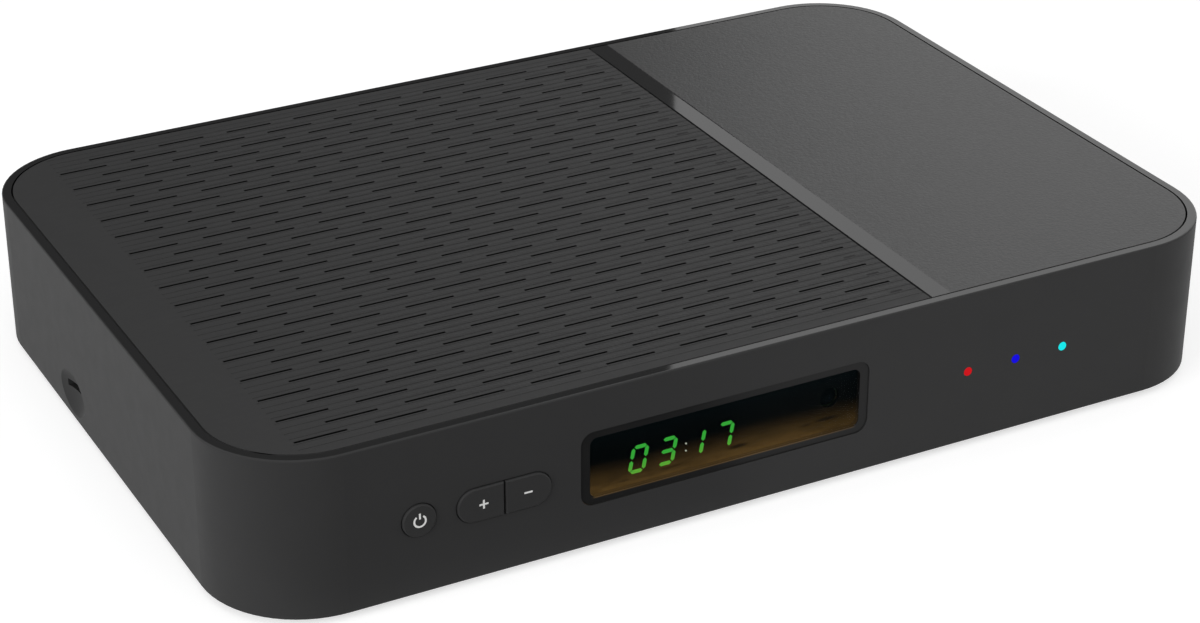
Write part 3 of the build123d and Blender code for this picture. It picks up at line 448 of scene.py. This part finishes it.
def eye_material():
    """Black infrared receiver, with a faint painted bluish glow and one small painted glint on its
    lens.
    """
    color = (0.0004, 0.0005, 0.0006)
    m = moulded("receiver_moulded", color, 0.8, 0.0, 2 * MM, 0.002 * MM, spread=0.03)
    low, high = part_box("infrared_receiver")
    across = m.math("SUBTRACT", m.axis("X"), (low.x + high.x) / 2)
    along = m.math("SUBTRACT", m.axis("Z"), UNDERSIDE + 20.25 * MM)
    far = m.math("SQRT", distance_squared(m, across, along))
    painted_glint = m.remap(far, 0.24 * MM, 0.1 * MM)
    m.emit(m.mix(painted_glint, (0.0004, 0.002, 0.0024), (0.06, 0.085, 0.11)))
    return m


def rubber_material():
    m = Material("rubber_feet", grey(0.018), 0.85, 0.25)
    m.mottle(3 * MM, 0.2)
    m.bump(m.math("ADD", m.noise(0.5 * MM, 4.0), m.cells(0.9 * MM)), 0.7, 0.06 * MM)
    return m


def board_material():
    """Green circuit board with copper tracks under the mask and small drilled holes."""
    m = Material("board_masked", (0.012, 0.09, 0.035), 0.32)
    grid = m.texture("ShaderNodeTexBrick", 120.0)
    grid.offset = 0.37
    grid.inputs["Mortar Size"].default_value = 0.03
    for name, color in (
        ("Color1", (0.01, 0.085, 0.03)),
        ("Color2", (0.016, 0.11, 0.045)),
        ("Mortar", (0.03, 0.17, 0.07)),
    ):
        grid.inputs[name].default_value = (*color, 1)
    holes = m.remap(m.cells(2.6 * MM), 0.12, 0.16)
    m.into(m.mix(holes, (0.35, 0.3, 0.18), grid.outputs["Color"]), "Base Color")
    m.bump(grid.outputs["Fac"], 0.4, 0.03 * MM)
    return m


def chip_material():
    m = Material("chip_epoxy", (0.015, 0.015, 0.016), 0.6, 0.35)
    m.mottle(2 * MM, 0.15)
    m.bump(m.noise(0.15 * MM), 0.5, 0.01 * MM)
    return m


def can_material():
    """Sleeve of an electrolytic capacitor: dark, with a pale stripe."""
    dark = (0.02, 0.024, 0.05)
    m = Material("capacitor_sleeve", dark, 0.35, 0.4)
    stripe = m.remap(m.bands(26.0), 0.9, 0.95)
    m.into(m.mix(stripe, dark, (0.3, 0.32, 0.36)), "Base Color")
    m.bump(m.noise(0.7 * MM), 0.4, 0.02 * MM)
    return m


def ribbon_material():
    """Flat cable of parallel wires."""
    m = Material("ribbon_wires", (0.32, 0.32, 0.34), 0.4, 0.4)
    wires = m.bands(250.0)
    m.into(m.mix(wires, (0.16, 0.16, 0.17), (0.4, 0.4, 0.42)), "Base Color")
    m.bump(wires, 0.6, 0.1 * MM)
    return m


def ink_material():
    m = Material("mark_ink", (0.72, 0.72, 0.71), 0.5, 0.3)
    m.into(m.mix(m.noise(0.25 * MM), (0.6, 0.6, 0.59), (0.78, 0.78, 0.77)), "Base Color")
    m.bump(m.noise(0.1 * MM, 2.0), 0.3, 0.004 * MM)
    return m


housing = housing_material()
base = moulded("base_moulded", (0.026, 0.026, 0.0265), 0.6, 0.2, 0.6 * MM, 0.03 * MM)
button = moulded("button_moulded", SHELL_COLOR, 0.5, 0.13, 0.3 * MM, 0.01 * MM, 0.03, 0.02)
cover = cover_material()
lens = lens_material()
backing = backing_material()
bezel = bezel_material()
segments = segment_material()
colon = glowing("colon_lit", (0.02, 0.025, 0.02), (0.75, 0.8, 0.65), 1.0)
pipe_red = glowing("pipe_red_lit", (0.02, 0.0005, 0.0005), (0.62, 0.004, 0.009), 1.0, 0.15)
pipe_blue = glowing("pipe_blue_lit", (0.0005, 0.0005, 0.02), (0.004, 0.0, 0.74), 1.0, 0.15)
pipe_cyan = glowing("pipe_cyan_lit", (0.0005, 0.02, 0.02), (0.006, 0.85, 0.87), 1.0, 0.15)
lamp = glowing("lamp_clear", (0.6, 0.6, 0.55), (0.4, 0.4, 0.35), 0.2)
rubber = rubber_material()
board = board_material()
chip = chip_material()
sleeve = can_material()
ribbon = ribbon_material()
zinc = plated("screw_zinc", (0.5, 0.5, 0.52), 0.32, 0.5 * MM)
tin = plated("tinned_sheet", grey(0.6), 0.3, 1.0 * MM, (1, 8, 1))
nickel = plated("nickel_plate", (0.62, 0.6, 0.56), 0.2, 0.4 * MM, (1, 14, 1))
fins = plated("sink_anodised", (0.55, 0.55, 0.57), 0.42, 0.6 * MM, (1, 6, 1))
panel_paint = moulded("panel_painted", (0.018, 0.018, 0.0185), 0.5, 0.35, 0.5 * MM, 0.02 * MM)
socket_black = moulded("socket_moulded", (0.012, 0.012, 0.0125), 0.45, 0.4, 0.4 * MM, 0.012 * MM)
switch_black = moulded("switch_moulded", grey(0.02), 0.45, 0.4, 0.3 * MM, 0.01 * MM)
plunger_tan = moulded("plunger_moulded", (0.3, 0.2, 0.1), 0.4, 0.4, 0.3 * MM, 0.01 * MM)
module_grey = moulded("module_moulded", grey(0.05), 0.5, 0.4, 0.4 * MM, 0.015 * MM)
eye_dark = eye_material()
white_block = moulded("insulator_moulded", (0.6, 0.6, 0.56), 0.4, 0.4, 0.4 * MM, 0.012 * MM)
ivory = moulded("header_moulded", (0.55, 0.48, 0.34), 0.45, 0.4, 0.5 * MM, 0.015 * MM)
ferrite = moulded("coil_ferrite", (0.035, 0.035, 0.037), 0.7, 0.3, 0.5 * MM, 0.05 * MM, 0.2)
ink = ink_material()

finishes = {
    "housing_shell": housing, "base_plate": base, "rubber_feet": rubber, "base_screws": zinc,
    "top_cover": cover, "rear_panel": panel_paint, "display_bezel": bezel, "display_lens": lens,
    "display_backing": backing, "display_segments": segments, "display_colon": colon,
    "display_module": module_grey, "infrared_receiver": eye_dark, "power_button": button,
    "programme_up_button": button, "programme_down_button": button,
    "switch_bodies": switch_black, "power_plunger": plunger_tan,
    "programme_up_plunger": plunger_tan, "programme_down_plunger": plunger_tan,
    "red_light_pipe": pipe_red, "blue_light_pipe": pipe_blue, "cyan_light_pipe": pipe_cyan,
    "indicator_leds": lamp, "front_board": board, "front_board_screws": zinc,
    "main_board": board, "main_board_screws": zinc, "processor": chip, "heat_sink": fins,
    "memory_chips": chip, "capacitors": sleeve, "coils": ferrite, "power_chips": chip,
    "ribbon_headers": ivory, "ribbon_cable": ribbon, "tuner_can": tin,
    "aerial_connectors": nickel, "aerial_washers": nickel, "aerial_nuts": nickel,
    "network_socket": socket_black, "hdmi_socket": tin, "hdmi_insulator": socket_black,
    "usb_socket": tin, "usb_insulator": white_block, "optical_socket": socket_black,
    "av_jack": socket_black, "power_inlet": socket_black, "card_socket": tin,
    "smart_card_reader": socket_black,
}
for name, finish in finishes.items():
    for slot in cad[name].material_slots:
        slot.material = finish.mat


# Printed marks, thin layers on the button faces ------------------------------------------------

INK_PROUD = 0.012 * MM
INK_THICK = 0.8 * INK_PROUD
STROKE = 0.45 * MM
RIGHT = Vector((1, 0, 0))
UP = Vector((0, 0, 1))
OUT = RIGHT.cross(UP)


def new_object(name, data):
    piece = bpy.data.objects.new(name, data)
    scene.collection.objects.link(piece)
    return piece


def printed(name, outlines, origin, body):
    """Thin flat layer with the given outlines, in metres, on an upright face at origin."""
    mesh = bpy.data.meshes.new(name)
    bm = bmesh.new()
    for outline in outlines:
        corners = [bm.verts.new(origin + RIGHT * x + UP * y + OUT * INK_PROUD) for x, y in outline]
        sides = bmesh.ops.extrude_face_region(bm, geom=[bm.faces.new(corners)])
        moved = [g for g in sides["geom"] if isinstance(g, bmesh.types.BMVert)]
        bmesh.ops.translate(bm, verts=moved, vec=-OUT * INK_THICK)
    bmesh.ops.recalc_face_normals(bm, faces=bm.faces)
    bm.to_mesh(mesh)
    bm.free()
    piece = new_object(name, mesh)
    piece.data.materials.append(ink.mat)
    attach(piece, body)


def arc_band(radius, width, start, end, steps=40):
    """Quads of a band along an arc, angles in degrees from up, clockwise."""
    inner, outer = radius - width / 2, radius + width / 2
    quads = []
    for i in range(steps):
        a, b = (math.radians(start + (end - start) * k / steps) for k in (i, i + 1))
        quads.append([(r * math.sin(t), r * math.cos(t))
                      for r, t in ((inner, a), (inner, b), (outer, b), (outer, a))])
    return quads


def bar(x, y, width, height):
    left, right = x - width / 2, x + width / 2
    low, high = y - height / 2, y + height / 2
    return [(left, low), (right, low), (right, high), (left, high)]


def face_centre(node):
    low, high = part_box(node)
    return Vector(((low.x + high.x) / 2, low.y, (low.z + high.z) / 2))


up_low, up_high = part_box("programme_up_button")
down_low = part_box("programme_down_button")[0]
split_x = (up_high.x + down_low.x) / 2
mark_z = (up_low.z + up_high.z) / 2

power = arc_band(1.36 * MM, STROKE, 35, 325) + [bar(0, 1.2 * MM, STROKE, 1.45 * MM)]
printed("power_mark", power, face_centre("power_button"), "power_key")
plus = [bar(0, 0, 2.2 * MM, STROKE)]
plus += [bar(0, y, STROKE, 0.88 * MM) for y in (0.66 * MM, -0.66 * MM)]
plus_at = Vector((split_x - 5.2 * MM, up_low.y, mark_z))
printed("plus_mark", plus, plus_at, "programme_up_key")
minus = [bar(0, 0, 2.0 * MM, STROKE)]
minus_at = Vector((split_x + 5.6 * MM, down_low.y, mark_z))
printed("minus_mark", minus, minus_at, "programme_down_key")


# Stage, lights and camera ----------------------------------------------------------------------


def stage_plane(name, corners, material):
    mesh = bpy.data.meshes.new(name)
    mesh.from_pydata([tuple(c) for c in corners], [], [(0, 1, 2, 3)])
    piece = new_object(name, mesh)
    piece.data.materials.append(material)
    return piece


def seen_directly(tree):
    """One for what the camera sees, straight on, in a gloss or through something clear."""
    path = tree.nodes.new("ShaderNodeLightPath")
    seen = path.outputs["Is Camera Ray"]
    for kind in ("Is Glossy Ray", "Is Transmission Ray"):
        either = tree.nodes.new("ShaderNodeMath")
        either.operation = "MAXIMUM"
        tree.links.new(seen, either.inputs[0])
        tree.links.new(path.outputs[kind], either.inputs[1])
        seen = either.outputs[0]
    return seen


def emitting(name, level, fade=None):
    """Plain light of one level, or of a level that rises from fade[0] to fade[1] metres up."""
    material = bpy.data.materials.new(name)
    tree = emptied_tree(material)
    out = tree.nodes.new("ShaderNodeOutputMaterial")
    glow = tree.nodes.new("ShaderNodeEmission")
    glow.inputs["Color"].default_value = (1, 1, 1, 1)
    glow.inputs["Strength"].default_value = level
    if fade:
        low, high, share = fade
        place = tree.nodes.new("ShaderNodeTexCoord")
        split = tree.nodes.new("ShaderNodeSeparateXYZ")
        rise = tree.nodes.new("ShaderNodeMapRange")
        tree.links.new(place.outputs["Object"], split.inputs[0])
        tree.links.new(split.outputs[2], rise.inputs[0])
        ends = (low, high, level * (1 - share), level * (1 + share))
        for socket, number in zip(rise.inputs[1:5], ends):
            socket.default_value = number
        tree.links.new(rise.outputs[0], glow.inputs["Strength"])
    tree.links.new(glow.outputs[0], out.inputs[0])
    return material


def floor_material():
    """White matt floor, lifted to plain white for what looks at it, with the shadow kept."""
    material = bpy.data.materials.new("floor_white")
    tree = emptied_tree(material)
    out = tree.nodes.new("ShaderNodeOutputMaterial")
    matt = tree.nodes.new("ShaderNodeBsdfDiffuse")
    matt.inputs["Color"].default_value = (0.62, 0.62, 0.62, 1)
    glow = tree.nodes.new("ShaderNodeEmission")
    glow.inputs["Strength"].default_value = 0.6
    both = tree.nodes.new("ShaderNodeAddShader")
    tree.links.new(seen_directly(tree), glow.inputs["Color"])
    tree.links.new(matt.outputs[0], both.inputs[0])
    tree.links.new(glow.outputs[0], both.inputs[1])
    tree.links.new(both.outputs[0], out.inputs[0])
    return material


FLOOR_REACH = 60.0
floor = [(x * FLOOR_REACH, y * FLOOR_REACH, 0) for x, y in ((-1, -1), (1, -1), (1, 1), (-1, 1))]
stage_plane("floor", floor, floor_material())

# The background is plain white where it is seen, and dimmer as a source of light.
world = bpy.data.worlds.new("studio")
scene.world = world
sky = emptied_tree(world)
world_out = sky.nodes.new("ShaderNodeOutputWorld")
choose = sky.nodes.new("ShaderNodeMixShader")
sky.links.new(seen_directly(sky), choose.inputs[0])
for socket, strength in zip(choose.inputs[1:3], (0.42, 1.0)):
    background = sky.nodes.new("ShaderNodeBackground")
    background.inputs["Color"].default_value = (1, 1, 1, 1)
    background.inputs["Strength"].default_value = strength
    sky.links.new(background.outputs[0], socket)
sky.links.new(choose.outputs[0], world_out.inputs[0])

# Camera: the body's outline in the photograph gives its place, its turn and its lens.
CAMERA_X = -306.575 * MM
CAMERA_TO_FRONT = -493.907 * MM
CAMERA_HEIGHT = 349.387 * MM
HEADING = -27.918232
TILT = 62.500411
ROLL = 0.057938
SENSOR_WIDTH = 36.0
LENS = 88.21
camera_data = bpy.data.cameras.new("camera")
camera_data.sensor_width = SENSOR_WIDTH
camera_data.lens = LENS
camera_data.clip_start = 0.01
camera_data.clip_end = 200.0
camera = new_object("camera", camera_data)
eye = Vector((CAMERA_X, FRONT + CAMERA_TO_FRONT, UNDERSIDE + CAMERA_HEIGHT))
turn = (
    Matrix.Rotation(math.radians(HEADING), 4, "Z")
    @ Matrix.Rotation(math.radians(TILT), 4, "X")
    @ Matrix.Rotation(math.radians(ROLL), 4, "Z")
)
camera.matrix_world = Matrix.Translation(eye) @ turn
scene.camera = camera

# Cards seen only in the object's gloss. Behind it stand a dark one to the left and a light one
# to the right, whose common edge is in the upright plane through the camera along EDGE. One more
# dark card lies on the floor in front, to the left. Its right side is along EDGE as the front
# wall mirrors it.
EDGE_SLOPE = 0.5655
EDGE = Vector((EDGE_SLOPE, 1.0, 0)).normalized()
ACROSS = Vector((EDGE.y, -EDGE.x, 0))
CARD_DISTANCE = 2.6
CARD_WIDTH = 3.0
CARD_LOW = 0.15
CARD_HIGH = 3.0
FLOOR_CARD_LEFT = -0.9
FLOOR_CARD_RIGHT = -0.0055
FLOOR_CARD_GAP = 0.006
FLOOR_CARD_DEPTH = 0.45
FLOOR_CARD_HEIGHT = 0.4 * MM


def card(name, corners, level, fade=None):
    piece = stage_plane(name, corners, emitting(name + "_glow", level, fade))
    for kind in ("camera", "diffuse", "shadow", "transmission", "volume_scatter"):
        setattr(piece, "visible_" + kind, False)


def standing(left, right):
    """Corners of an upright card behind the object."""
    centre = Vector((eye.x, eye.y, 0)) + EDGE * CARD_DISTANCE
    ends = ((left, CARD_LOW), (right, CARD_LOW), (right, CARD_HIGH), (left, CARD_HIGH))
    return [centre + ACROSS * side + UP * height for side, height in ends]


card("dark_card", standing(-CARD_WIDTH, 0.0), 0.05)
card("light_card", standing(0.0, CARD_WIDTH), 1.5, (0.6, 1.3, 0.17))
near_y, far_y = FRONT - FLOOR_CARD_GAP, FRONT - FLOOR_CARD_GAP - FLOOR_CARD_DEPTH
slanted_right = FLOOR_CARD_RIGHT + EDGE_SLOPE * FLOOR_CARD_DEPTH
card("floor_card", [(x, y, FLOOR_CARD_HEIGHT) for x, y in (
    (FLOOR_CARD_LEFT, near_y), (FLOOR_CARD_RIGHT, near_y),
    (slanted_right, far_y), (FLOOR_CARD_LEFT, far_y),
)], 0.0)


def soft_light(name, place, size, power):
    """Lamp that faces the origin and doesn't show in a gloss."""
    data = bpy.data.lights.new(name, "AREA")
    data.shape = "RECTANGLE"
    data.size, data.size_y = size
    data.energy = power
    light = new_object(name, data)
    light.location = place
    light.rotation_euler = (-Vector(place)).to_track_quat("-Z", "Y").to_euler()
    light.visible_glossy = False


soft_light("key_light", (-0.6, -2.0, 2.25), (2.2, 2.2), 23.5)
soft_light("side_light", (-2.35, -0.72, 0.75), (1.8, 1.4), 43.0)
soft_light("fill_light", (2.2, -1.3, 0.8), (1.6, 1.2), 12.0)

scene.view_settings.view_transform = "Standard"
